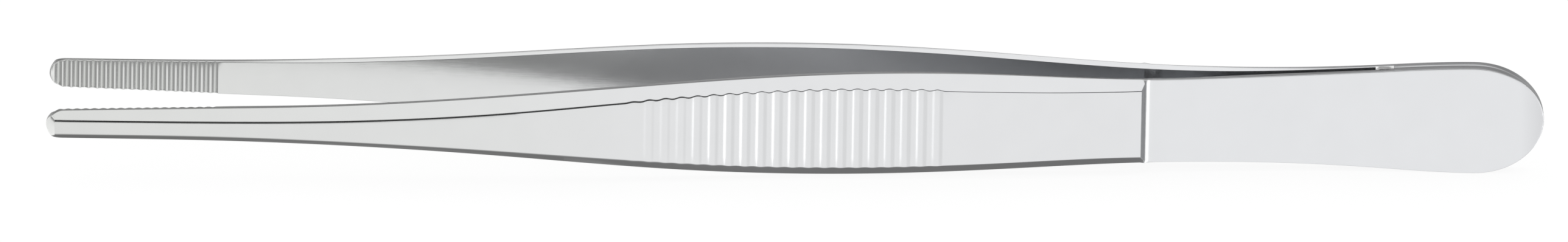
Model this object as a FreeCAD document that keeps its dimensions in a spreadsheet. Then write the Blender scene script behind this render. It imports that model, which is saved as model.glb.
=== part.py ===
"""Thumb forceps with serrated jaws: two forged spring arms welded together at the butt.

The forceps lies on its side edges. X runs along it, from the tips to the butt. Y is the way
the arms open. Z is up, across the width of the arms. Seen from the butt towards the tips,
the left arm is at negative Y. The origin is under the middle of the whole forceps, on the
surface that it lies on.

Each arm is made as the real one is: the side view, with every groove that runs straight
across the arm, and the plan view are cut from one bar, and then the two long edges of the
front part are ground to facets. The right arm is the left arm mirrored.
"""
import FreeCAD, Part
import Sketcher
import math
import os

Vector = FreeCAD.Vector

doc = FreeCAD.newDocument("thumb_forceps")
sheet = doc.addObject("Spreadsheet::Sheet", "Sizes")

# The section table of the forged arm, in millimetres. Each section has its run from the
# section before it (the jaw's is worked out from its teeth), and then
#   inset      from the plane between the arms to the inner face
#   side       height of the plain side, from the inner face to the foot of the facet
#   rise       height of the facet, from there to the outer flat
#   half_width of the arm
#   facet      width of the facet, seen on the outer face
SECTION_SIZES = ["run", "inset", "side", "rise", "half_width", "facet"]
FRONT_SECTIONS = {
    "tip": [0, 8.46, 0.82, 1.15, 1.36, 0.61],
    "jaw_end": [None, 7.72, 0.87, 1.83, 1.61, 0.80],
    "waist": [8, 7.43, 1.06, 2.04, 1.83, 0.85],
    "shank": [18, 6.83, 1.14, 2.23, 2.87, 1.00],
    "grip_front": [17, 5.93, 1.23, 1.58, 4.23, 1.06],
    "grip_middle": [18, 4.02, 1.30, 1.74, 5.01, 1.14],
    "grip_back": [14, 2.72, 1.24, 2.05, 4.75, 1.17],
    "shoulder": [13.9, 1.72, 1.18, 1.18, 4.18, 0.86],
}
HANDLE_SIZES = {
    "neck_run": 9.1,
    "neck_inset": 0.76,
    "neck_side": 1.22,
    "neck_half_width": 4.25,
    "handle_run": 13.6,
    "root_inset": 0.48,
    "root_half_width": 4.82,
    "butt_run": 9.6,
    "butt_half_width": 5.25,
    "butt_thickness": 1.32,
    "butt_round": 6.8,
    "crown_run": 4.5,
    "crown_drop": 0.85,
}
DETAIL_SIZES = {
    "weld_length": 1.8,
    "weld_hollow": 0.35,
    "shoulder_slope": 0.5,
    "shoulder_fillet": 0.9,
    "tip_round": 1.7,
    "tip_bevel": 0.85,
    "tip_thickness": 0.5,
    "tip_nose": 0.45,
    "tooth_count": 19,
    "tooth_pitch": 0.846,
    "tooth_start": 1.06,
    "tooth_depth": 0.28,
    "tooth_depth_end": 0.20,
    "tooth_root": 0.10,
    "jaw_margin": 0.712,
    "groove_count": 20,
    "groove_pitch": 1.55,
    "groove_lead": 4.1,
    "groove_depth": 0.20,
    "groove_fade": 0.5,
    "run_out_lift": 0.12,
    "spare": 2,
}


def fill_sheet(values, first_row):
    """Write one name and one number on each row and name the cell after it."""
    for row, (name, value) in enumerate(values.items(), start=first_row):
        sheet.set(f"A{row}", name)
        sheet.set(f"B{row}", str(value))
        sheet.setAlias(f"B{row}", name)
    return first_row + len(values)


section_cells = {
    f"{section}_{size}": value
    for section, values in FRONT_SECTIONS.items()
    for size, value in zip(SECTION_SIZES, values)
    if value is not None
}
next_row = fill_sheet(section_cells, 1)
next_row = fill_sheet(HANDLE_SIZES, next_row)
fill_sheet(DETAIL_SIZES, next_row)
doc.recompute()


def size(name):
    """The number that the sheet holds under this name."""
    return float(sheet.get(name))


# Distances from the tips, as expressions on the sheet and as numbers
sections = list(FRONT_SECTIONS)
runs = [f"Sizes.{section}_run" for section in sections]
last_tooth = "Sizes.tooth_start + (Sizes.tooth_count - 1) * Sizes.tooth_pitch"
jaw_run = last_tooth + " + Sizes.jaw_margin"
runs[sections.index("jaw_end")] = jaw_run
place_of = {section: " + ".join(runs[:index + 1]) for index, section in enumerate(sections)}
place_of["neck"] = place_of["shoulder"] + " + Sizes.neck_run"
place_of["root"] = place_of["neck"] + " + Sizes.handle_run"
place_of["butt"] = place_of["root"] + " + Sizes.butt_run"
total_length = place_of["butt"] + " + Sizes.butt_round"
where = {section: sheet.evalExpression(place) for section, place in place_of.items()}


def smooth_curve(points, start_slope=None, end_slope=None):
    """A spline through points (along, out), whose parameter is the distance along."""
    knots = [Vector(along, -out, 0) for along, out in points]
    options = {"Points": knots, "Parameters": [knot.x for knot in knots], "Scale": False}
    if start_slope is not None:
        options["InitialTangent"] = Vector(1, -start_slope, 0)
        options["FinalTangent"] = Vector(1, -end_slope, 0)
    curve = Part.BSplineCurve()
    curve.interpolate(**options)
    return curve


def at(along, out):
    """A point of the side view: along the arm, and out from the plane between the arms."""
    return Vector(along, -out, 0)


def line(start, end):
    return Part.LineSegment(start, end).toShape()


# Long curves of the side view
butt_end = where["butt"] + size("butt_round")
jaw_slope = (size("jaw_end_inset") - size("tip_inset")) / where["jaw_end"]


def jaw_line(along):
    """The straight inner face of the jaw."""
    return size("tip_inset") + jaw_slope * along


def chord_slope(points):
    """The slope of the straight line through two points (along, out)."""
    (start, start_out), (end, end_out) = points
    return (end_out - start_out) / (end - start)


inner_points = [(where[name], size(f"{name}_inset")) for name in sections[1:]]
inner_points += [(where["neck"], size("neck_inset")), (where["root"], size("root_inset"))]
inner_curve = smooth_curve(inner_points, jaw_slope, 0.0)

base_points = [(where[name], size(f"{name}_inset") + size(f"{name}_side")) for name in sections]
base_points += [(where["neck"], size("neck_inset") + size("neck_side"))]
base_points += [(where["root"], size("butt_thickness"))]
base_curve = smooth_curve(base_points, jaw_slope, 0.0)

flat_points = [
    (where[name], sum(size(f"{name}_{part}") for part in ("inset", "side", "rise")))
    for name in sections
]
flat_curve = smooth_curve(flat_points, chord_slope(flat_points[:2]), chord_slope(flat_points[-2:]))


def jaw_teeth():
    """Points of the serrated inner face, from the last groove back to the first."""
    points = []
    count = round(size("tooth_count"))
    for index in reversed(range(count)):
        middle = size("tooth_start") + index * size("tooth_pitch")
        share = index / max(count - 1, 1)
        depth = size("tooth_depth") * (1 - share) + size("tooth_depth_end") * share
        root = size("tooth_root") / 2
        for along, sink in [(root + depth, 0), (root, depth), (-root, depth), (-root - depth, 0)]:
            points.append(at(middle + along, jaw_line(middle + along) + sink))
    return points


def grip_waves():
    """The outer flat of the grip: rounded grooves with rounded ridges between them."""
    count = round(size("groove_count"))
    start = where["grip_front"] - size("groove_lead")
    points = []
    for half in range(2 * count + 1):
        along = start + half * size("groove_pitch") / 2
        groove = half // 2
        fade = size("groove_fade") if groove in (0, count - 1) else 1.0
        depth = size("groove_depth") * fade if half % 2 else 0.0
        points.append(flat_curve.value(along) + Vector(0, depth, 0))
    waves = Part.BSplineCurve()
    waves.interpolate(Points=points)
    return waves, points[0].x, points[-1].x


def shoulder_fillet(top):
    """Where a round tangent to the shoulder's slope and to the handle touches them."""
    radius = size("shoulder_fillet")
    foot_along = top.x + size("shoulder_slope")
    slope = (base_curve.value(foot_along) - top).normalize()
    away = Vector(-slope.y, slope.x, 0)
    if away.x < 0:
        away = -away

    def round_at(along):
        forward = base_curve.tangent(along)[0]
        outward = Vector(forward.y, -forward.x, 0)
        centre = base_curve.value(along) + outward * radius
        return centre, (centre - top).dot(away)

    near, far = foot_along, foot_along + 4 * radius
    for _ in range(50):
        middle = (near + far) / 2
        if round_at(middle)[1] < radius:
            near = middle
        else:
            far = middle
    centre = round_at(far)[0]
    on_slope = centre - away * radius
    on_handle = base_curve.value(far)
    halfway = centre + ((on_slope + on_handle) / 2 - centre).normalize() * radius
    return on_slope, halfway, on_handle


def side_view():
    """The whole side view of the left arm as one face."""
    waves, waves_from, waves_to = grip_waves()
    shoulder_top = flat_curve.value(where["shoulder"])
    on_slope, halfway, on_handle = shoulder_fillet(shoulder_top)
    crown_from = at(butt_end - size("crown_run"), size("butt_thickness"))
    crown_to = at(butt_end, size("butt_thickness") - size("crown_drop"))
    crown_radius = (size("crown_run") ** 2 + size("crown_drop") ** 2) / (2 * size("crown_drop"))
    crown_centre = crown_from + Vector(0, crown_radius, 0)
    crown_middle = (crown_from + crown_to) / 2 - crown_centre
    crown_middle = crown_centre + crown_middle.normalize() * crown_radius
    weld_end = where["root"] + size("weld_length")

    nose = size("tip_nose")
    nose_inner = at(nose, jaw_line(nose))
    nose_low = at(0, jaw_line(0) + nose / 2)
    nose_high = at(0, jaw_line(0) + size("tip_thickness"))
    bevel_top = flat_curve.value(size("tip_bevel"))
    teeth = jaw_teeth()
    jaw_end = at(where["jaw_end"], jaw_line(where["jaw_end"]))

    corners = [nose_inner, nose_low, nose_high, bevel_top]
    edges = [line(start, end) for start, end in zip(corners, corners[1:])]
    edges.append(flat_curve.toShape(size("tip_bevel"), waves_from))
    edges.append(waves.toShape())
    edges.append(flat_curve.toShape(waves_to, where["shoulder"]))
    edges.append(line(shoulder_top, on_slope))
    edges.append(Part.Arc(on_slope, halfway, on_handle).toShape())
    edges.append(base_curve.toShape(on_handle.x, where["root"]))
    edges.append(line(at(where["root"], size("butt_thickness")), crown_from))
    edges.append(Part.Arc(crown_from, crown_middle, crown_to).toShape())
    corners = [crown_to, at(butt_end, 0), at(weld_end, 0), at(weld_end, size("root_inset"))]
    corners.append(at(where["root"], size("root_inset")))
    edges += [line(start, end) for start, end in zip(corners, corners[1:])]
    edges.append(inner_curve.toShape(where["jaw_end"], where["root"]))
    corners = [jaw_end] + teeth + [nose_inner]
    edges += [line(start, end) for start, end in zip(corners, corners[1:])]
    return Part.Face(Part.Wire(Part.__sortEdges__(edges)))


def quarter_oval(centre, end, top):
    """A quarter of an ellipse from its end on the middle line to the flank's edge."""
    if (end - centre).Length >= (top - centre).Length:
        oval = Part.Ellipse(end, top, centre)
    else:
        oval = Part.Ellipse(top, end, centre)
    first, last = oval.parameter(end), oval.parameter(top)
    if (last - first) % (2 * math.pi) > math.pi:
        first, last = last, first
    return oval.toShape(first, first + (last - first) % (2 * math.pi))


def plan_view():
    """The outline of an arm as seen on its outer face, with a round tip and butt."""
    tip_round = size("tip_round")
    tip_half_width = size("tip_half_width")
    points = [(tip_round, tip_half_width)]
    for name in sections[1:] + ["neck", "root", "butt"]:
        points.append((where[name], size(f"{name}_half_width")))
    knots = [Vector(along, 0, half) for along, half in points]
    jaw_widening = size("jaw_end_half_width") - tip_half_width
    tip_slope = jaw_widening / (where["jaw_end"] - tip_round)
    flank = Part.BSplineCurve()
    flank.interpolate(
        Points=knots,
        Parameters=[knot.x for knot in knots],
        Scale=False,
        InitialTangent=Vector(1, 0, tip_slope),
        FinalTangent=Vector(1, 0, 0),
    )
    tip = quarter_oval(Vector(tip_round, 0, 0), Vector(0, 0, 0), knots[0])
    butt_centre = Vector(where["butt"], 0, 0)
    butt_reach = butt_centre + Vector(size("butt_round"), 0, 0)
    butt = quarter_oval(butt_centre, butt_reach, knots[-1])
    upper = [tip, flank.toShape(), butt]
    lower = [edge.mirror(Vector(0, 0, 0), Vector(0, 0, 1)) for edge in upper]
    return Part.Face(Part.Wire(Part.__sortEdges__(upper + lower)))


def weld_view():
    """The side view of the weld that closes the slot, hollow towards the tips."""
    half = size("root_inset")
    front = where["root"]
    back = front + size("weld_length")
    hollow = Part.Arc(at(front, half), at(front + size("weld_hollow"), 0), at(front, -half))
    corners = [at(front, -half), at(back, -half), at(back, half), at(front, half)]
    edges = [line(start, end) for start, end in zip(corners, corners[1:])]
    return Part.Face(Part.Wire(Part.__sortEdges__(edges + [hollow.toShape()])))


def drawn(name, face):
    """Keep a computed outline as an object of the document."""
    view = doc.addObject("Part::Feature", name)
    view.Shape = face
    return view


def extruded(name, base, direction, length):
    """A symmetric extrusion whose length is an expression on the sheet."""
    bar = doc.addObject("Part::Extrusion", name)
    bar.Base = base
    bar.DirMode = "Custom"
    bar.Dir = direction
    bar.Symmetric = True
    bar.Solid = True
    bar.setExpression("LengthFwd", length)
    return bar


def facet_section(name, along, section, neighbour=None, share="0", lift="0"):
    """One triangle of the long facet's cutter, past the corner of the bar at a section.

    Its long side lies along the facet and runs on by half the facet's width at both ends.
    With a neighbour, the sizes carry on past the section, by a share of the way between.
    A lift moves the triangle out of the bar.
    """
    sketch = doc.addObject("Sketcher::SketchObject", name)
    outward, up = Vector(0, -1, 0), Vector(0, 0, 1)
    sketch.Placement.Rotation = FreeCAD.Rotation(outward, up, Vector(-1, 0, 0), "XYZ")
    sketch.setExpression("Placement.Base.x", along)
    terms = {term: facet_term(term, section, neighbour, share) for term in FACET_TERMS}
    terms["upper"] += f" + {lift}"
    value = {term: sheet.evalExpression(expression) for term, expression in terms.items()}
    corner = Vector(value["outer"], value["upper"], 0)
    inner_end = corner - Vector(value["rise"], 0, 0)
    lower_end = corner - Vector(0, value["facet"], 0)
    rise = sketch.addGeometry(Part.LineSegment(corner, inner_end), False)
    slant = sketch.addGeometry(Part.LineSegment(inner_end, lower_end), False)
    width = sketch.addGeometry(Part.LineSegment(lower_end, corner), False)
    for first, second in [(rise, slant), (slant, width), (width, rise)]:
        sketch.addConstraint(Sketcher.Constraint("Coincident", first, 2, second, 1))
    sketch.addConstraint(Sketcher.Constraint("Horizontal", rise))
    sketch.addConstraint(Sketcher.Constraint("Vertical", width))
    measures = {
        "outer": Sketcher.Constraint("DistanceX", -1, 1, rise, 1, value["outer"]),
        "upper": Sketcher.Constraint("DistanceY", -1, 1, rise, 1, value["upper"]),
        "rise": Sketcher.Constraint("Distance", rise, value["rise"]),
        "facet": Sketcher.Constraint("Distance", width, value["facet"]),
    }
    for term, measure in measures.items():
        bind(sketch, term, measure, terms[term])
    return sketch


FACET_TERMS = {
    "outer": "{0}_inset + {0}_side + 1.5 * {0}_rise",
    "upper": "{0}_half_width + 0.5 * {0}_facet",
    "rise": "2 * {0}_rise",
    "facet": "2 * {0}_facet",
}


def facet_term(term, section, neighbour, share):
    """The expression for one size of a facet's triangle."""
    here = "(" + FACET_TERMS[term].format(f"Sizes.{section}") + ")"
    if neighbour is None:
        return here
    there = "(" + FACET_TERMS[term].format(f"Sizes.{neighbour}") + ")"
    return f"{here} + ({here} - {there}) * ({share})"


def bind(sketch, label, constraint, expression):
    """Add a named constraint whose value is an expression on the sheet."""
    number = sketch.addConstraint(constraint)
    sketch.renameConstraint(number, label)
    sketch.setExpression(f"Constraints.{label}", expression)


def placed(part):
    """Move a piece from the tips' frame to the middle of the whole forceps."""
    part.setExpression("Placement.Base.x", f"-({total_length}) / 2")
    widest = "max(Sizes.butt_half_width; Sizes.grip_middle_half_width)"
    part.setExpression("Placement.Base.z", widest)
    return part


# The bar that has the arm's side view and its plan view
across = "2 * (Sizes.butt_half_width + Sizes.grip_middle_half_width)"
deep = "2 * (Sizes.tip_inset + Sizes.tip_side + Sizes.shank_inset + Sizes.spare)"
side_bar = extruded("side_bar", drawn("side_view", side_view()), Vector(0, 0, 1), across)
plan_bar = extruded("plan_bar", drawn("plan_view", plan_view()), Vector(0, 1, 0), deep)
bar = doc.addObject("Part::MultiCommon", "bar")
bar.Shapes = [side_bar, plan_bar]

# The two long facets, ground from the tip to the shoulder
ahead = f"Sizes.spare / ({jaw_run})"
facet_sketches = [facet_section("facet_ahead", "-Sizes.spare", "tip", "jaw_end", ahead)]
for section in sections:
    facet_sketches.append(facet_section(f"facet_{section}", place_of[section], section))
past = "Sizes.shoulder_slope + Sizes.shoulder_fillet"
run_out = f"({past}) / Sizes.shoulder_run"
run_out_place = place_of["shoulder"] + " + " + past
last_section = ["shoulder", "grip_back", run_out, "Sizes.run_out_lift"]
facet_sketches.append(facet_section("facet_run_out", run_out_place, *last_section))
upper_facet = doc.addObject("Part::Loft", "upper_facet")
upper_facet.Sections = facet_sketches
upper_facet.Solid = True
upper_facet.Ruled = False
lower_facet = doc.addObject("Part::Mirroring", "lower_facet")
lower_facet.Source = upper_facet
lower_facet.Normal = Vector(0, 0, 1)
upper_ground = doc.addObject("Part::Cut", "upper_ground")
upper_ground.Base = bar
upper_ground.Tool = upper_facet
left_arm = doc.addObject("Part::Cut", "left_arm")
left_arm.Base = upper_ground
left_arm.Tool = lower_facet
placed(left_arm)

# The right arm is the left arm's mirror image
right_arm = doc.addObject("Part::Mirroring", "right_arm")
right_arm.Source = left_arm
right_arm.Normal = Vector(0, 1, 0)

# The weld at the end of the slot, ground flush with the arms' edges
weld_bar = extruded("weld_bar", drawn("weld_view", weld_view()), Vector(0, 0, 1), across)
butt_weld = doc.addObject("Part::MultiCommon", "butt_weld")
butt_weld.Shapes = [weld_bar, plan_bar]
placed(butt_weld)

doc.recompute()
for item in doc.Objects:
    if "Invalid" in item.State or "Error" in item.State:
        raise RuntimeError(f"{item.Label} failed: {item.State}")

os.makedirs("parts", exist_ok=True)
for part in [left_arm, right_arm, butt_weld]:
    shape = part.Shape
    if shape.isNull() or not shape.isValid() or len(shape.Solids) != 1:
        raise RuntimeError(f"{part.Label} is not one sound solid")
    shape.exportStep(f"parts/{part.Label}.step")
    print(part.Label, f"{shape.Volume:.1f} mm3, {len(shape.Faces)} faces")
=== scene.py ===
# %% [markdown]
# # Thumb forceps
# Two forged spring arms are welded together at the butt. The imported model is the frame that
# everything here is built in: metres, X from the tips to the butt, Y the way the arms open and
# Z up across their width. It is loaded first, and nothing else is read.

# %% Load the frame
import math

import bmesh
import bpy
import numpy as np
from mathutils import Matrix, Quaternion, Vector


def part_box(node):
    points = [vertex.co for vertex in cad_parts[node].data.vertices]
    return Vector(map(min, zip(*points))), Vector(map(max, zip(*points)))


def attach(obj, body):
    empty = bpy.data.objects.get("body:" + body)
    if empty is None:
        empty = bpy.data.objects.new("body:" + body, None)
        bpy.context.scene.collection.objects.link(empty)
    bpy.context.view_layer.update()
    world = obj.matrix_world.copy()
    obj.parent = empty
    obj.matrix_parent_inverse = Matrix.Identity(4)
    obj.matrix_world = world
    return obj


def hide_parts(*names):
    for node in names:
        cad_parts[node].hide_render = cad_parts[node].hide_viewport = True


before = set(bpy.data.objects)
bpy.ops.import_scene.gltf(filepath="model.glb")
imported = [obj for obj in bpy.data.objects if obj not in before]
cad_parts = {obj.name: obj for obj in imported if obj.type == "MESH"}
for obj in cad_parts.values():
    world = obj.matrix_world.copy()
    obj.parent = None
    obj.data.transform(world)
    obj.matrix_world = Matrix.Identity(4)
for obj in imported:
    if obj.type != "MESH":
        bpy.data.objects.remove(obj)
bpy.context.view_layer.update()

# %% [markdown]
# ## Sizes
# The arm is worked out in millimetres, measured along from the tip and out from the plane
# between the arms, as a toolmaker would measure it. The frame gives the length and the middle
# height, so the arms made here lie exactly on the solids that they stand for.

# %% Where the arms lie
MM = 0.001
arm_low, arm_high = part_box("left_arm")
weld_low, weld_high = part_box("butt_weld")
LENGTH = (arm_high.x - arm_low.x) / MM
MIDDLE_HEIGHT = (arm_low.z + arm_high.z) / 2
WELD_START = (weld_low.x - arm_low.x) / MM
WELD_END = (weld_high.x - arm_low.x) / MM
SLOT_HALF = (weld_high.y - weld_low.y) / 2 / MM
print(f"arms {LENGTH:.1f} mm long, weld from {WELD_START:.1f} to {WELD_END:.1f} mm")

# %% The forged sections
# Along, then the inner face's inset, the plain side's height, the facet's rise, the arm's half
# width and the facet's width
SECTIONS = [
    (0.0, 8.46, 0.82, 1.15, 1.36, 0.61),
    (17.0, 7.72, 0.87, 1.83, 1.61, 0.80),
    (25.0, 7.43, 1.06, 2.04, 1.83, 0.85),
    (43.0, 6.83, 1.14, 2.23, 2.87, 1.00),
    (60.0, 5.93, 1.23, 1.58, 4.23, 1.06),
    (78.0, 4.02, 1.30, 1.74, 5.01, 1.14),
    (92.0, 2.72, 1.24, 2.05, 4.75, 1.17),
    (105.9, 1.72, 1.18, 1.18, 4.18, 0.86),
]
NECK, NECK_INSET, NECK_SIDE, NECK_HALF_WIDTH = 115.0, 0.76, 1.22, 4.25
ROOT_HALF_WIDTH = 4.82
BUTT_THICKNESS = 1.32
BUTT, BUTT_HALF_WIDTH = 138.2, 5.25
TIP_ROUND = 1.7
TIP_HALF_WIDTH = SECTIONS[0][4]
JAW_END = SECTIONS[1][0]
SHOULDER = SECTIONS[-1][0]


# %% A smooth curve through the sections
def smooth_curve(points, start_slope=None, end_slope=None):
    """A cubic spline through (along, value) points, with natural or given ends."""
    x, y = np.array(points, float).T
    h, rise = np.diff(x), np.diff(y)
    matrix, right = np.zeros((len(x), len(x))), np.zeros(len(x))
    for i in range(1, len(x) - 1):
        matrix[i, i - 1:i + 2] = 1 / h[i - 1], 2 / h[i - 1] + 2 / h[i], 1 / h[i]
        right[i] = 3 * (rise[i - 1] / h[i - 1] ** 2 + rise[i] / h[i] ** 2)
    matrix[0, :2], right[0] = (2, 1), 3 * rise[0] / h[0]
    matrix[-1, -2:], right[-1] = (1, 2), 3 * rise[-1] / h[-1]
    if start_slope is not None:
        matrix[0, :2], right[0] = (1, 0), start_slope
    if end_slope is not None:
        matrix[-1, -2:], right[-1] = (0, 1), end_slope
    slopes = np.linalg.solve(matrix, right)

    def value(along):
        i = int(np.clip(np.searchsorted(x, along) - 1, 0, len(x) - 2))
        t = (along - x[i]) / h[i]
        start = y[i] + t * (y[i + 1] - y[i])
        bulge = t * (1 - t)
        lead = slopes[i] * h[i] - rise[i]
        trail = rise[i] - slopes[i + 1] * h[i]
        return start + bulge * ((1 - t) * lead + t * trail)

    return value


# %% The long curves of the arm
alongs, insets, sides, rises, half_widths, facets = np.array(SECTIONS).T
jaw_slope = (insets[1] - insets[0]) / JAW_END
inner_points = [*zip(alongs[1:], insets[1:]), (NECK, NECK_INSET), (WELD_START, SLOT_HALF)]
inner_curve = smooth_curve(inner_points, jaw_slope, 0.0)
base_points = [*zip(alongs, insets + sides), (NECK, NECK_INSET + NECK_SIDE)]
base_points += [(WELD_START, BUTT_THICKNESS)]
base_curve = smooth_curve(base_points, jaw_slope, 0.0)
flats = insets + sides + rises
first_slope = (flats[1] - flats[0]) / (alongs[1] - alongs[0])
last_slope = (flats[-1] - flats[-2]) / (alongs[-1] - alongs[-2])
flat_curve = smooth_curve([*zip(alongs, flats)], first_slope, last_slope)
facet_curve = smooth_curve([*zip(alongs, facets)])
flank_points = [(TIP_ROUND, TIP_HALF_WIDTH), *zip(alongs[1:], half_widths[1:])]
flank_points += [(NECK, NECK_HALF_WIDTH), (WELD_START, ROOT_HALF_WIDTH)]
flank_points += [(BUTT, BUTT_HALF_WIDTH)]
tip_slope = (half_widths[1] - TIP_HALF_WIDTH) / (JAW_END - TIP_ROUND)
flank_curve = smooth_curve(flank_points, tip_slope, 0.0)

# %% [markdown]
# ## The round ends
# Seen from the side that the fingers press, the tip and the butt end in half ovals. An edge
# that is rounded has to follow them, so every line of the arm near an edge runs on the outline
# drawn in by some offset. Where the offset outline has already closed, the line lies on the
# middle of the arm.


# %% The outline and its offsets
def half_width(along, offset=0.0):
    """Half the width of the outline drawn in by an offset."""
    if along < TIP_ROUND:
        share = (TIP_ROUND - along) / (TIP_ROUND - offset)
        return (TIP_HALF_WIDTH - offset) * math.sqrt(max(0.0, 1 - share * share))
    if along > BUTT:
        share = (along - BUTT) / (LENGTH - BUTT - offset)
        return (BUTT_HALF_WIDTH - offset) * math.sqrt(max(0.0, 1 - share * share))
    return flank_curve(along) - offset


# %% [markdown]
# ## Jaw teeth
# Nineteen straight cuts across the inner face give the jaw its bite. Each is a notch with a
# narrow floor and sloping walls, a little shallower towards the last. The walls slope less than
# 45 degrees, so each shows the dark end of the room and not the other wall's reflection.

# %% The serrated inner face
TEETH, TOOTH_PITCH, TOOTH_START = 19, 0.846, 0.85
TOOTH_DEPTH, TOOTH_DEPTH_END, TOOTH_ROOT, TOOTH_SLOPE = 0.24, 0.21, 0.05, 0.73
TIP_NOSE = 0.45


def tooth_shape(index):
    """The middle, the depth and the half widths of the root and the mouth of one notch."""
    share = index / (TEETH - 1)
    depth = TOOTH_DEPTH * (1 - share) + TOOTH_DEPTH_END * share
    root = TOOTH_ROOT / 2
    return TOOTH_START + index * TOOTH_PITCH, depth, root, root + depth / TOOTH_SLOPE


def plain_level(along):
    """How far the inner face lies from the plane between the arms, before the teeth are cut."""
    if along > WELD_END:
        return 0.0
    if along > WELD_START:
        return SLOT_HALF
    if along > JAW_END:
        return inner_curve(along)
    nose = max(0.0, TIP_NOSE - along) / 2
    return insets[0] + jaw_slope * along + nose


def inner_level(along):
    """How far the inner face lies from the plane between the arms, with the teeth."""
    level = plain_level(along)
    if along > JAW_END:
        return level
    nearest = min(TEETH - 1, max(0, round((along - TOOTH_START) / TOOTH_PITCH)))
    middle, depth, root, mouth = tooth_shape(nearest)
    return level + min(depth, max(0.0, (mouth - abs(along - middle)) * TOOTH_SLOPE))


# %% [markdown]
# ## Grip grooves and shoulder
# The fingers hold the arm on twenty rounded grooves. Behind them the thick forged part ends in
# a shoulder: a steep wall, then a wide sweep into the thin flat handle. The handle's face ends
# in a low crown at the butt.

# %% The outer face along the middle of the arm
GROOVES, GROOVE_PITCH, GROOVE_START = 20, 1.55, 55.9
GROOVE_DEPTH = 0.20
# How deep each groove is, as a share of that depth
GROOVE_SHARES = [0.5, 0.8, 0.82, 0.84, 0.9, 0.94] + [1.0] * 13 + [0.95]
TIP_BEVEL, TIP_THICKNESS = 0.85, 0.50
SHOULDER_SLOPE, SWEEP_RADIUS, SWEEP_ANGLE, SWEEP_ROUND = 0.5, 2.3, math.radians(28), 0.02
CROWN_RUN, CROWN_DROP = 4.5, 0.62

top = np.array([SHOULDER, flat_curve(SHOULDER)])
foot = np.array([SHOULDER + SHOULDER_SLOPE, base_curve(SHOULDER + SHOULDER_SLOPE)])
sweep_rise = SWEEP_RADIUS * (1 - math.cos(SWEEP_ANGLE))
wall_foot = foot[0] - sweep_rise * SHOULDER_SLOPE / (top[1] - foot[1])
sweep_run = SWEEP_RADIUS * math.sin(SWEEP_ANGLE)
sweep_end = wall_foot + sweep_run
crown_radius = (CROWN_RUN ** 2 + CROWN_DROP ** 2) / (2 * CROWN_DROP)


def bend(start, corner, end, share):
    """A point of the round that eases a corner."""
    return start * (1 - share) ** 2 + corner * 2 * share * (1 - share) + end * share ** 2


def outer_level(along):
    """How far the outer face lies from the plane between the arms, on the middle line."""
    if along < TIP_BEVEL:
        start = insets[0] + TIP_THICKNESS
        return start + (flat_curve(TIP_BEVEL) - start) * along / TIP_BEVEL
    if along <= SHOULDER:
        groove = (along - GROOVE_START) / GROOVE_PITCH
        if not 0 < groove < GROOVES:
            return flat_curve(along)
        depth = GROOVE_SHARES[int(groove)] * GROOVE_DEPTH
        return flat_curve(along) - depth * (1 - math.cos(2 * math.pi * groove)) / 2
    if along < sweep_end:
        wall = top[1] + (foot[1] - top[1]) * (along - top[0]) / SHOULDER_SLOPE
        reach = min(sweep_end - along, sweep_run)
        sweep = base_curve(along) + SWEEP_RADIUS - math.sqrt(SWEEP_RADIUS ** 2 - reach ** 2)
        return (wall + sweep + math.sqrt((wall - sweep) ** 2 + SWEEP_ROUND ** 2)) / 2
    if along < WELD_START:
        return base_curve(along)
    crown = along - (LENGTH - CROWN_RUN)
    drop = crown_radius - math.sqrt(crown_radius ** 2 - crown ** 2) if crown > 0 else 0.0
    return BUTT_THICKNESS - drop


# %% [markdown]
# ## The section of the arm
# Half a section is enough, because the arm is symmetric about its middle line. It runs from the
# middle of the inner face, round the eased inner edge, up the side, which leans out a little and
# is slightly crowned, over the ground facet and its ridge, and back to the middle of the
# crowned outer face. In the handle the facet is only a small bevel.

# %% Half a section
INNER_ROUND = 0.06
CORNER_ROUND = 0.03
# Along, then half the width of the round on the ridge
RIDGE_ROUNDS = [(0, 0.15), (20, 0.17), (50, 0.16), (58, 0.11), (68, 0.05)]
BEVEL_WIDTH, BEVEL_DROP = 0.20, 0.02
WALL_CROWN = 0.03
LEAST_SIDE = 0.3
FACE_CROWN = 0.03
# A round takes at most this share of the thickness, the facet or the side
INNER_SHARE, RIDGE_SHARE, CORNER_SHARE = 0.3, 0.4, 0.5
# Along, then how far the side's inner edge lies within its outer edge
FLARE = [(0, 0.0), (18, 0.0), (24, 0.06), (43, 0.11), (78, 0.12), (113, 0.13), (127, 0.0)]
FLARE_MOST = 0.13
flare_curve = smooth_curve(FLARE, 0.0, 0.0)
SEAM_ROUND = 0.01
WALL_STEPS = [0.45, 0.6, 0.75, 0.9]
ROUND_STEPS = [0.0, 0.25, 0.5, 0.75, 1.0]
RIDGE_STEPS = [1.0, 0.5, 0.0, -0.5, -1.0]
FACE_STEPS = [0.75, 0.5, 0.25, 0.0]


def side_top(along):
    """Level at which a full side ends and the facet begins."""
    done = max(0.0, along - SHOULDER) / (wall_foot - SHOULDER)
    return base_curve(min(along, WELD_START)) + min(1.0, done) * sweep_rise


def facet_share(along, level):
    """How much of the full facet is left below the outer face at this level."""
    if along >= wall_foot:
        return 0.0
    full = flat_curve(min(along, SHOULDER)) - side_top(along)
    return max(0.0, level - side_top(along)) / full


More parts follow.
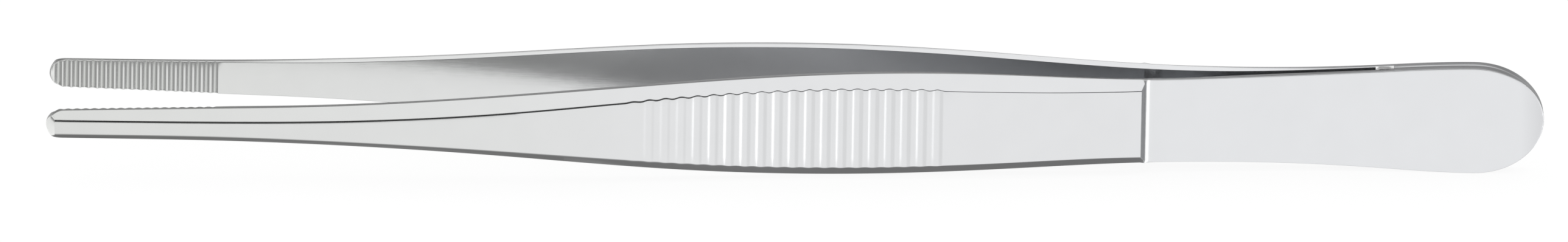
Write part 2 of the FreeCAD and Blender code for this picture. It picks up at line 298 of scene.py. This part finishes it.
def half_section(along):
    """Points (across, out) of half a section, from the inner middle to the outer middle."""
    inner = inner_level(along)
    outer = outer_level(along)
    share = facet_share(along, outer - FACE_CROWN)
    facet = facet_curve(min(along, SHOULDER)) * share + BEVEL_WIDTH * (1 - share)
    drop = (outer - FACE_CROWN - side_top(along)) if share > 0 else 0.0
    drop += BEVEL_DROP * (1 - share)
    drop = min(drop, outer - plain_level(along) - LEAST_SIDE)
    straight = flank_curve(min(max(along, TIP_ROUND), BUTT))
    to_end = min(along, LENGTH - along)
    flare = flare_curve(along) if FLARE[1][0] < along < FLARE[-1][0] else 0.0
    points = []

    # Inner face and its eased edge
    eased = SEAM_ROUND if along > WELD_END else INNER_ROUND
    eased = min(eased, (outer - inner) * INNER_SHARE)
    points.append((0.0, inner))
    for step in ROUND_STEPS:
        offset, lift = bend(eased, 0.0, 0.0, step) + flare, bend(0.0, 0.0, eased, step)
        across = half_width(along, offset)
        if across == 0 and offset > to_end:
            lift = np.interp(to_end, [0.0, eased], [eased, 0.0])
        points.append((across, inner + lift))

    # Facet and ridge, as a function of how far across a point lies
    ridge = straight - facet
    blend = min(float(np.interp(along, *zip(*RIDGE_ROUNDS))), facet * RIDGE_SHARE)
    steepness = drop / facet

    def face_level(across, offset):
        past = across - ridge
        level = outer - FACE_CROWN * min(1.0, across / ridge) ** 2
        if along > BUTT:
            past = BEVEL_WIDTH - offset
        if past > blend:
            return level - steepness * past
        if past > -blend:
            return level - steepness * (past + blend) ** 2 / (4 * blend)
        return level

    # Side, its upper corner, the facet and the outer face
    wall_top = max(face_level(half_width(along), 0.0), inner + eased)
    corner = min(CORNER_ROUND, (wall_top - inner - eased) * CORNER_SHARE)
    foot_level = plain_level(along) + eased
    for step in WALL_STEPS:
        swell = 4 * step * (1 - step) * WALL_CROWN * flare / max(FLARE_MOST, flare)
        across = half_width(along, max(0.0, flare * (1 - step) - swell))
        points.append((across, foot_level + (wall_top - corner - foot_level) * step))
    for step in ROUND_STEPS:
        lower = wall_top - corner
        offset = bend(0.0, 0.0, corner, step)
        across = half_width(along, offset)
        upper = face_level(half_width(along, corner), corner)
        points.append((across, bend(lower, wall_top, upper, step)))
    limit = half_width(along, corner)
    if along > BUTT:
        offsets = [BEVEL_WIDTH - blend * step for step in RIDGE_STEPS]
        for offset in offsets:
            across = half_width(along, offset)
            depth = min(offset, to_end) if across == 0 else offset
            points.append((across, face_level(across, depth)))
        inside = half_width(along, offsets[-1])
        for step in FACE_STEPS:
            depth = offsets[-1] if inside > 0 else min(offsets[-1], to_end)
            points.append((inside * step, face_level(inside * step, depth)))
    else:
        for step in RIDGE_STEPS:
            across = min(limit, ridge + blend * step)
            points.append((across, face_level(across, None)))
        inside = min(limit, ridge - blend)
        for step in FACE_STEPS:
            points.append((inside * step, face_level(inside * step, None)))
    return points


# %% [markdown]
# ## Drawing out the arm
# A flat grid has one row of points for each section and one column for each line of the half
# section. Putting each row on its section bends the grid into half an arm, and a mirror closes
# it. Rows stand close together only where something changes: at the teeth, in the grooves, at
# the shoulder and round the two ends.

# %% Where the sections stand
SMOOTH_STEP = 0.9
WAVE_STEPS = 10
END_STEPS = 22
FOOT_STEP, FOOT_HALF = 0.015, 0.05
SWEEP_STEP = 0.08
CROWN_STEP = 0.5
EDGE_GAP = 0.004
LEAST_GAP = 0.0035


def spread(start, end, step):
    """Even places from start to end, about a step apart."""
    return list(np.linspace(start, end, max(2, math.ceil((end - start) / step) + 1)))


def round_end(start, end):
    """Places that crowd towards the closed end of a half oval."""
    turns = np.linspace(0, math.pi / 2, END_STEPS)
    return [start + (end - start) * math.sin(turn) for turn in turns]


places = round_end(TIP_ROUND, 0.0) + [TIP_NOSE, TIP_BEVEL]
for index in range(TEETH):
    middle, depth, root, mouth = tooth_shape(index)
    places += [middle - mouth, middle - root, middle + root, middle + mouth]
groove_end = GROOVE_START + GROOVES * GROOVE_PITCH
places += spread(JAW_END, GROOVE_START, SMOOTH_STEP)
places += spread(GROOVE_START, groove_end, GROOVE_PITCH / WAVE_STEPS)
places += spread(groove_end, SHOULDER, SMOOTH_STEP)
places += [SHOULDER, wall_foot - 2 * FOOT_HALF]
places += spread(wall_foot - FOOT_HALF, wall_foot + FOOT_HALF, FOOT_STEP)
places += spread(wall_foot + 2 * FOOT_HALF, sweep_end, SWEEP_STEP)
places += spread(sweep_end, WELD_START, SMOOTH_STEP)
places += [WELD_END - EDGE_GAP, WELD_END + EDGE_GAP]
places += spread(WELD_END, BUTT, SMOOTH_STEP) + round_end(BUTT, LENGTH)
places += spread(LENGTH - CROWN_RUN, LENGTH - CROWN_RUN + 2 * CROWN_STEP, CROWN_STEP)
places = sorted(set(round(place, 4) for place in places))
gaps = [math.inf, *np.diff(places)]
places = [place for place, gap in zip(places, gaps) if gap > LEAST_GAP]
print(f"{len(places)} sections of {len(half_section(JAW_END))} points")


# %% Bend the grid
MIDDLE_MERGE, POINT_MERGE, LEAST_EDGE = 1e-7, 2e-6, 1e-6
SHARP_ANGLE = math.radians(27)


def forged_arm(name, side):
    """One arm. The side is -1 for the left arm and +1 for the right arm."""
    bm = bmesh.new()
    rows = [half_section(place) for place in places]
    columns = len(rows[0])
    bmesh.ops.create_grid(bm, x_segments=len(rows) - 1, y_segments=columns - 1, size=0.5)
    for vert in bm.verts:
        row = round((vert.co.x + 0.5) * (len(rows) - 1))
        column = round((vert.co.y + 0.5) * (columns - 1))
        across, out = rows[row][column]
        vert.co = Vector((places[row], side * out, across)) * MM
    half = bm.verts[:] + bm.edges[:] + bm.faces[:]
    bmesh.ops.mirror(bm, geom=half, merge_dist=MIDDLE_MERGE, axis="Z")
    bmesh.ops.remove_doubles(bm, verts=bm.verts, dist=POINT_MERGE)
    bmesh.ops.dissolve_degenerate(bm, edges=bm.edges, dist=LEAST_EDGE)
    bmesh.ops.translate(bm, verts=bm.verts, vec=(arm_low.x, 0, MIDDLE_HEIGHT))
    bmesh.ops.recalc_face_normals(bm, faces=bm.faces)
    return finished(bm, name)


def finished(bm, name):
    """A smooth-shaded object from a bmesh, with real edges kept crisp."""
    mesh = bpy.data.meshes.new(name)
    bm.to_mesh(mesh)
    bm.free()
    mesh.shade_smooth()
    mesh.set_sharp_from_angle(angle=SHARP_ANGLE)
    piece = bpy.data.objects.new(name, mesh)
    bpy.context.scene.collection.objects.link(piece)
    weighted = piece.modifiers.new("flat_faces_stay_flat", "WEIGHTED_NORMAL")
    weighted.keep_sharp = True
    return piece


left_arm = forged_arm("left_arm_forging", -1)
right_arm = forged_arm("right_arm_forging", 1)
for arm, node in [(left_arm, "left_arm"), (right_arm, "right_arm")]:
    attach(arm, "root")
    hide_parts(node)
    print(arm.name, len(arm.data.polygons), "faces")

# %% [markdown]
# ## Weld
# The slot between the arms ends in a short weld. It is left as it ran: bright, slightly uneven
# and a little hollow towards the tips.

# %% The weld bead
BEAD_CUTS = 9
BEAD_SWELL = 0.04
BEAD_GRAIN = 900
# The waves that make the bead uneven: how fast each runs along X, Y and Z, and where it starts
BEAD_WAVES = [(2.9, 1.1, 1.3, 0.5), (2.3, -1.9, 1.7, 2.0), (1.6, 2.4, -2.1, 4.0)]
BEAD_TILT = 0.25
BEAD_FRONT = 0.35 * MM


def ripple(place):
    """A smooth, uneven offset at a place, the same in each run."""
    first, second, third = [place.dot(Vector(wave[:3])) + wave[3] for wave in BEAD_WAVES]
    return Vector((math.sin(first + math.sin(second)), math.sin(second + math.sin(third)),
                   math.sin(third + math.sin(first))))


def weld_bead():
    """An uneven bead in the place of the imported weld."""
    bm = bmesh.new()
    bmesh.ops.create_cube(bm, size=1)
    size, centre = weld_high - weld_low, (weld_high + weld_low) / 2
    bmesh.ops.scale(bm, verts=bm.verts, vec=size)
    bmesh.ops.subdivide_edges(bm, edges=bm.edges, cuts=BEAD_CUTS, use_grid_fill=True)
    bmesh.ops.translate(bm, verts=bm.verts, vec=centre)
    for vert in bm.verts:
        if vert.co.z > MIDDLE_HEIGHT:
            tilt = BEAD_TILT * max(0.0, 1 - (vert.co.x - weld_low.x) / BEAD_FRONT)
            vert.co.z -= (weld_high.y - vert.co.y) * tilt
        wobble = ripple(vert.co * BEAD_GRAIN) * BEAD_SWELL * MM
        vert.co += Vector((wobble.x, 0, wobble.z - abs(wobble.y) * 0.5))
    bmesh.ops.recalc_face_normals(bm, faces=bm.faces)
    return finished(bm, "weld_bead")


bead = weld_bead()
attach(bead, "root")
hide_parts("butt_weld")

# %% [markdown]
# ## Satin steel
# Surgical steel is ground and then glass-blasted or brushed to a satin that hides glare from
# the theatre lamps. The finish is a metal with medium-low roughness that varies a little, very
# fine brush lines along the arm, and a slight waviness left by polishing. The arms' tone along
# their length is painted light and shade: darker towards the tips, lighter along the handle and
# darker again at the butt's rim.


# %% Steel
# The brush lines are noise drawn out along X, and the cloud is wider and the same all ways. Each
# bump has a strength and a height in metres.
BRUSH_SCALE = (300, 9000, 9000)
CLOUD_SCALE = 350
SMUDGE = 0.985
BRUSH_BUMP = (0.012, 0.0001)
CLOUD_BUMP = (0.01, 0.001)


def satin_steel(name, tones_and_painted_light, roughness, spread_of_roughness):
    """A satin metal with brush lines along X, its colour following how far along the forceps it is;
    for the arms that colour carries painted light and shade.
    """
    steel = bpy.data.materials.new(name)
    steel.use_nodes = True
    nodes, links = steel.node_tree.nodes, steel.node_tree.links
    shader = nodes["Principled BSDF"]
    shader.inputs["Metallic"].default_value = 1.0
    place = nodes.new("ShaderNodeTexCoord")
    parts = nodes.new("ShaderNodeSeparateXYZ")
    links.new(place.outputs["Object"], parts.inputs["Vector"])
    share = nodes.new("ShaderNodeMapRange")
    share.inputs["From Min"].default_value = arm_low.x
    share.inputs["From Max"].default_value = arm_high.x
    links.new(parts.outputs["X"], share.inputs["Value"])
    # This ramp is the steel's colour with painted light and shade in it along the forceps.
    tone_and_painted_light = nodes.new("ShaderNodeValToRGB")
    stops = tone_and_painted_light.color_ramp.elements
    while len(stops) < len(tones_and_painted_light):
        stops.new(0.5)
    for stop, (along, colour) in zip(stops, tones_and_painted_light):
        stop.position = along / LENGTH
        stop.color = (*colour, 1)
    links.new(share.outputs["Result"], tone_and_painted_light.inputs["Fac"])
    along_lines = nodes.new("ShaderNodeMapping")
    along_lines.inputs["Scale"].default_value = BRUSH_SCALE
    links.new(place.outputs["Object"], along_lines.inputs["Vector"])
    brush = nodes.new("ShaderNodeTexNoise")
    brush.inputs["Scale"].default_value = 1.0
    brush.inputs["Detail"].default_value = 3.0
    links.new(along_lines.outputs["Vector"], brush.inputs["Vector"])
    cloud = nodes.new("ShaderNodeTexNoise")
    cloud.inputs["Scale"].default_value = CLOUD_SCALE
    cloud.inputs["Detail"].default_value = 2.0
    links.new(place.outputs["Object"], cloud.inputs["Vector"])
    smudge = nodes.new("ShaderNodeMapRange")
    smudge.inputs["From Min"].default_value = 0.35
    smudge.inputs["From Max"].default_value = 0.75
    smudge.inputs["To Min"].default_value = 1.0
    smudge.inputs["To Max"].default_value = SMUDGE
    links.new(cloud.outputs["Fac"], smudge.inputs["Value"])
    coat = nodes.new("ShaderNodeVectorMath")
    coat.operation = "SCALE"
    links.new(tone_and_painted_light.outputs["Color"], coat.inputs[0])
    links.new(smudge.outputs["Result"], coat.inputs["Scale"])
    links.new(coat.outputs["Vector"], shader.inputs["Base Color"])
    range_of = nodes.new("ShaderNodeMapRange")
    range_of.inputs["From Min"].default_value = 0.3
    range_of.inputs["From Max"].default_value = 0.7
    range_of.inputs["To Min"].default_value = roughness - spread_of_roughness
    range_of.inputs["To Max"].default_value = roughness + spread_of_roughness
    links.new(brush.outputs["Fac"], range_of.inputs["Value"])
    links.new(range_of.outputs["Result"], shader.inputs["Roughness"])
    fine = nodes.new("ShaderNodeBump")
    fine.inputs["Strength"].default_value, fine.inputs["Distance"].default_value = BRUSH_BUMP
    links.new(brush.outputs["Fac"], fine.inputs["Height"])
    wavy = nodes.new("ShaderNodeBump")
    wavy.inputs["Strength"].default_value, wavy.inputs["Distance"].default_value = CLOUD_BUMP
    links.new(cloud.outputs["Fac"], wavy.inputs["Height"])
    links.new(fine.outputs["Normal"], wavy.inputs["Normal"])
    links.new(wavy.outputs["Normal"], shader.inputs["Normal"])
    return steel


# Along, then the colour of the steel there, with painted light and shade in it: darker towards
# the tips, lighter along the handle and darker again at the butt's rim
ARM_TONE_AND_PAINTED_LIGHT = [
    (0, (0.710, 0.717, 0.703)), (45, (0.745, 0.752, 0.750)), (62, (0.770, 0.776, 0.786)),
    (104, (0.775, 0.782, 0.794)), (109, (0.785, 0.794, 0.810)),
    (142.8, (0.785, 0.794, 0.810)), (145, (0.68, 0.685, 0.70)),
]
WELD_TINTS = [(0, (0.92, 0.92, 0.92)), (145, (0.92, 0.92, 0.92))]
arm_steel = satin_steel("satin_arm_steel", ARM_TONE_AND_PAINTED_LIGHT, 0.17, 0.012)
weld_steel = satin_steel("bright_weld_steel", WELD_TINTS, 0.25, 0.05)
for arm in (left_arm, right_arm):
    arm.data.materials.append(arm_steel)
bead.data.materials.append(weld_steel)

# %% [markdown]
# ## Studio
# Bright metal shows what stands round it. The studio is a sky of soft panels: a pale floor in
# front, a dark room behind the camera, a wide panel overhead, a gap, and a pale backdrop behind.
# The metal sees this sky, and the camera sees plain white.

# %% The panels
# Each stop is the angle in the plane across the forceps, from -180 to 180 degrees, with 0
# towards the camera's side, 90 overhead and 180 behind, and the panel's brightness there
PANELS = [
    (-180, 0.36), (-160, 0.32), (-148, 0.19), (-125, 0.19), (-75, 0.4), (-40, 1.0), (1, 1.0),
    (6, 0.04), (70, 0.03), (78, 1.0), (156, 1.0), (162, 0.20), (168, 0.20), (176, 0.33), (180, 0.36),
]

# Panels at the left and the right: the side, where one starts and is full, as the share of a
# direction that points along X, and its brightness. The last two are the dark ends of the room.
SIDE_PANELS = [
    (-1, 0.25, 0.45, 0.88), (-1, 0.60, 0.70, 1.25), (1, 0.69, 0.76, 2.2),
    (-1, 0.84, 0.86, 0.38), (1, 0.80, 0.84, 0.38),
]


def studio():
    """A world that is white to the camera and a ring of soft panels to the metal."""
    world = bpy.data.worlds.new("studio")
    bpy.context.scene.world = world
    world.use_nodes = True
    nodes, links = world.node_tree.nodes, world.node_tree.links
    nodes.clear()
    place = nodes.new("ShaderNodeTexCoord")
    parts = nodes.new("ShaderNodeSeparateXYZ")
    links.new(place.outputs["Generated"], parts.inputs["Vector"])
    front = nodes.new("ShaderNodeMath")
    front.operation = "MULTIPLY"
    front.inputs[1].default_value = -1.0
    links.new(parts.outputs["Y"], front.inputs[0])
    angle = nodes.new("ShaderNodeMath")
    angle.operation = "ARCTAN2"
    links.new(parts.outputs["Z"], angle.inputs[0])
    links.new(front.outputs[0], angle.inputs[1])
    turn = nodes.new("ShaderNodeMath")
    turn.operation = "MULTIPLY_ADD"
    turn.inputs[1].default_value = 1 / (2 * math.pi)
    turn.inputs[2].default_value = 0.5
    links.new(angle.outputs[0], turn.inputs[0])
    ring = nodes.new("ShaderNodeValToRGB")
    stops = ring.color_ramp.elements
    while len(stops) < len(PANELS):
        stops.new(0.5)
    for stop, (degrees, level) in zip(stops, PANELS):
        stop.position = degrees / 360 + 0.5
        stop.color = (level, level, level, 1)
    links.new(turn.outputs[0], ring.inputs["Fac"])
    level = ring.outputs["Color"]
    for sign, near, far, brightness in SIDE_PANELS:
        toward = nodes.new("ShaderNodeMapRange")
        toward.interpolation_type = "SMOOTHSTEP"
        toward.inputs["From Min"].default_value = sign * near
        toward.inputs["From Max"].default_value = sign * far
        links.new(parts.outputs["X"], toward.inputs["Value"])
        panel = nodes.new("ShaderNodeMix")
        panel.data_type = "RGBA"
        links.new(toward.outputs["Result"], panel.inputs["Factor"])
        links.new(level, panel.inputs["A"])
        panel.inputs["B"].default_value = (brightness, brightness, brightness, 1)
        level = panel.outputs["Result"]
    metal_sees = nodes.new("ShaderNodeBackground")
    links.new(level, metal_sees.inputs["Color"])
    rest_sees = nodes.new("ShaderNodeBackground")
    rest_sees.inputs["Color"].default_value = (1, 1, 1, 1)
    ray = nodes.new("ShaderNodeLightPath")
    choice = nodes.new("ShaderNodeMixShader")
    links.new(ray.outputs["Is Glossy Ray"], choice.inputs["Fac"])
    links.new(rest_sees.outputs[0], choice.inputs[1])
    links.new(metal_sees.outputs[0], choice.inputs[2])
    out = nodes.new("ShaderNodeOutputWorld")
    links.new(choice.outputs[0], out.inputs["Surface"])


studio()

# %% [markdown]
# ## Floor and painted shade card
# The forceps lies on a plain white sheet. To the camera the sheet is nearly as white as the
# backdrop, with a faint shadow left where the forceps stands on it. Between the arms, from the
# grip to the throat, lies a glowing grey card of painted shade: it stands for the shaded floor
# under the arms, and only the metal sees it. Its glow gets paler towards the throat, where the
# arms lie close together and reflect each other many times.

# %% The sheet
FLOOR_REACH = 0.4
SHADOW_SHARE = 0.12


def flat_sheet(name, corners_out):
    """A stage piece made from a grid of one face, with its corners put where they belong."""
    bm = bmesh.new()
    bmesh.ops.create_grid(bm, x_segments=len(corners_out) - 1, y_segments=1, size=0.5)
    for vert in bm.verts:
        x, front, back = corners_out[round((vert.co.x + 0.5) * (len(corners_out) - 1))]
        vert.co = (x, back if vert.co.y > 0 else front, 0)
    mesh = bpy.data.meshes.new(name)
    bm.to_mesh(mesh)
    bm.free()
    sheet = bpy.data.objects.new(name, mesh)
    bpy.context.scene.collection.objects.link(sheet)
    return sheet


def white_sheet():
    """Nearly pure white to the camera, with a share of real shadow."""
    paper = bpy.data.materials.new("white_sheet")
    paper.use_nodes = True
    nodes, links = paper.node_tree.nodes, paper.node_tree.links
    shader = nodes["Principled BSDF"]
    shader.inputs["Base Color"].default_value = (0.95, 0.95, 0.95, 1)
    shader.inputs["Roughness"].default_value = 1.0
    shader.inputs["Specular IOR Level"].default_value = 0.0
    white = nodes.new("ShaderNodeEmission")
    white.inputs["Strength"].default_value = 1.02
    mixed = nodes.new("ShaderNodeMixShader")
    mixed.inputs["Fac"].default_value = SHADOW_SHARE
    links.new(white.outputs[0], mixed.inputs[1])
    links.new(shader.outputs[0], mixed.inputs[2])
    ray = nodes.new("ShaderNodeLightPath")
    seen = nodes.new("ShaderNodeMixShader")
    links.new(ray.outputs["Is Camera Ray"], seen.inputs["Fac"])
    links.new(shader.outputs[0], seen.inputs[1])
    links.new(mixed.outputs[0], seen.inputs[2])
    links.new(seen.outputs[0], nodes["Material Output"].inputs["Surface"])
    return paper


floor = flat_sheet("floor", [(-FLOOR_REACH, -FLOOR_REACH, FLOOR_REACH),
                             (FLOOR_REACH, -FLOOR_REACH, FLOOR_REACH)])
floor.data.materials.append(white_sheet())
floor.visible_glossy = False

# %% The painted shade card between the arms
CARD_STATIONS = [50.0, 60.0, 70.0, 78.0, 92.0, 105.0, 125.0]
CARD_BACK = 0.01
# X in metres, then the glow of the painted shade there
PAINTED_SHADE_LEVELS = [(-0.0225, 0.22), (-0.010, 0.36), (0.000, 0.42), (0.020, 0.60), (0.045, 0.75)]


def painted_shade_glow(name, levels):
    """An even glow of painted shade whose level follows the distance along the forceps."""
    card = bpy.data.materials.new(name)
    card.use_nodes = True
    nodes, links = card.node_tree.nodes, card.node_tree.links
    nodes.remove(nodes["Principled BSDF"])
    place = nodes.new("ShaderNodeTexCoord")
    parts = nodes.new("ShaderNodeSeparateXYZ")
    links.new(place.outputs["Object"], parts.inputs["Vector"])
    glow = nodes.new("ShaderNodeEmission")
    share = nodes.new("ShaderNodeMapRange")
    share.inputs["From Min"].default_value = levels[0][0]
    share.inputs["From Max"].default_value = levels[-1][0]
    links.new(parts.outputs["X"], share.inputs["Value"])
    ramp = nodes.new("ShaderNodeValToRGB")
    stops = ramp.color_ramp.elements
    while len(stops) < len(levels):
        stops.new(0.5)
    run = levels[-1][0] - levels[0][0]
    for stop, (x, level) in zip(stops, levels):
        stop.position = (x - levels[0][0]) / run
        stop.color = (level, level, level, 1)
    links.new(share.outputs["Result"], ramp.inputs["Fac"])
    links.new(ramp.outputs["Color"], glow.inputs["Color"])
    links.new(glow.outputs[0], nodes["Material Output"].inputs["Surface"])
    return card


# The card is painted shade: a grey glowing sheet that only the metal sees, in place of the shaded
# floor between the arms.
card_rows = []
for along in CARD_STATIONS:
    out = inner_level(along) * MM
    card_rows.append((arm_low.x + along * MM, -out, out + CARD_BACK))
painted_shade_card = flat_sheet("painted_shade_card", card_rows)
painted_shade_card.data.materials.append(painted_shade_glow("painted_shade_card", PAINTED_SHADE_LEVELS))
painted_shade_card.visible_camera = False
painted_shade_card.visible_diffuse = False
painted_shade_card.visible_shadow = False

# %% [markdown]
# ## Camera
# The photograph looks across the opening of the arms from a little above, with a long lens. The
# height of the sensor sets the frame. Its width is read only by views from other sides, to tell
# how far to stand back, and it is wide so that they stay within the range that they can see.

# %% The camera
LENS = 700
IMAGE_WIDTH, IMAGE_HEIGHT = 2576, 398
FRAME_HEIGHT = 36 * IMAGE_HEIGHT / IMAGE_WIDTH
FRAME_ROOM = 96
DISTANCE = 2.9554
TURN, TILT, ROLL = math.radians(-0.475), math.radians(16.192), math.radians(0.934)
TARGET = Vector((-1.135 * MM, 0, 3.922 * MM))


def camera():
    """A long-lens camera at the photograph's angle."""
    data = bpy.data.cameras.new("camera")
    data.lens = LENS
    data.sensor_fit = "VERTICAL"
    data.sensor_height = FRAME_HEIGHT
    data.sensor_width = FRAME_ROOM
    data.clip_end = 20
    eye = bpy.data.objects.new("camera", data)
    bpy.context.scene.collection.objects.link(eye)
    level = math.cos(TILT)
    back = Vector((math.sin(TURN) * level, -math.cos(TURN) * level, math.sin(TILT)))
    eye.location = TARGET + back * DISTANCE
    eye.rotation_mode = "QUATERNION"
    eye.rotation_quaternion = (-back).to_track_quat("-Z", "Y") @ Quaternion((0, 0, 1), ROLL)
    bpy.context.scene.camera = eye


camera()
bpy.context.scene.view_settings.view_transform = "Standard"
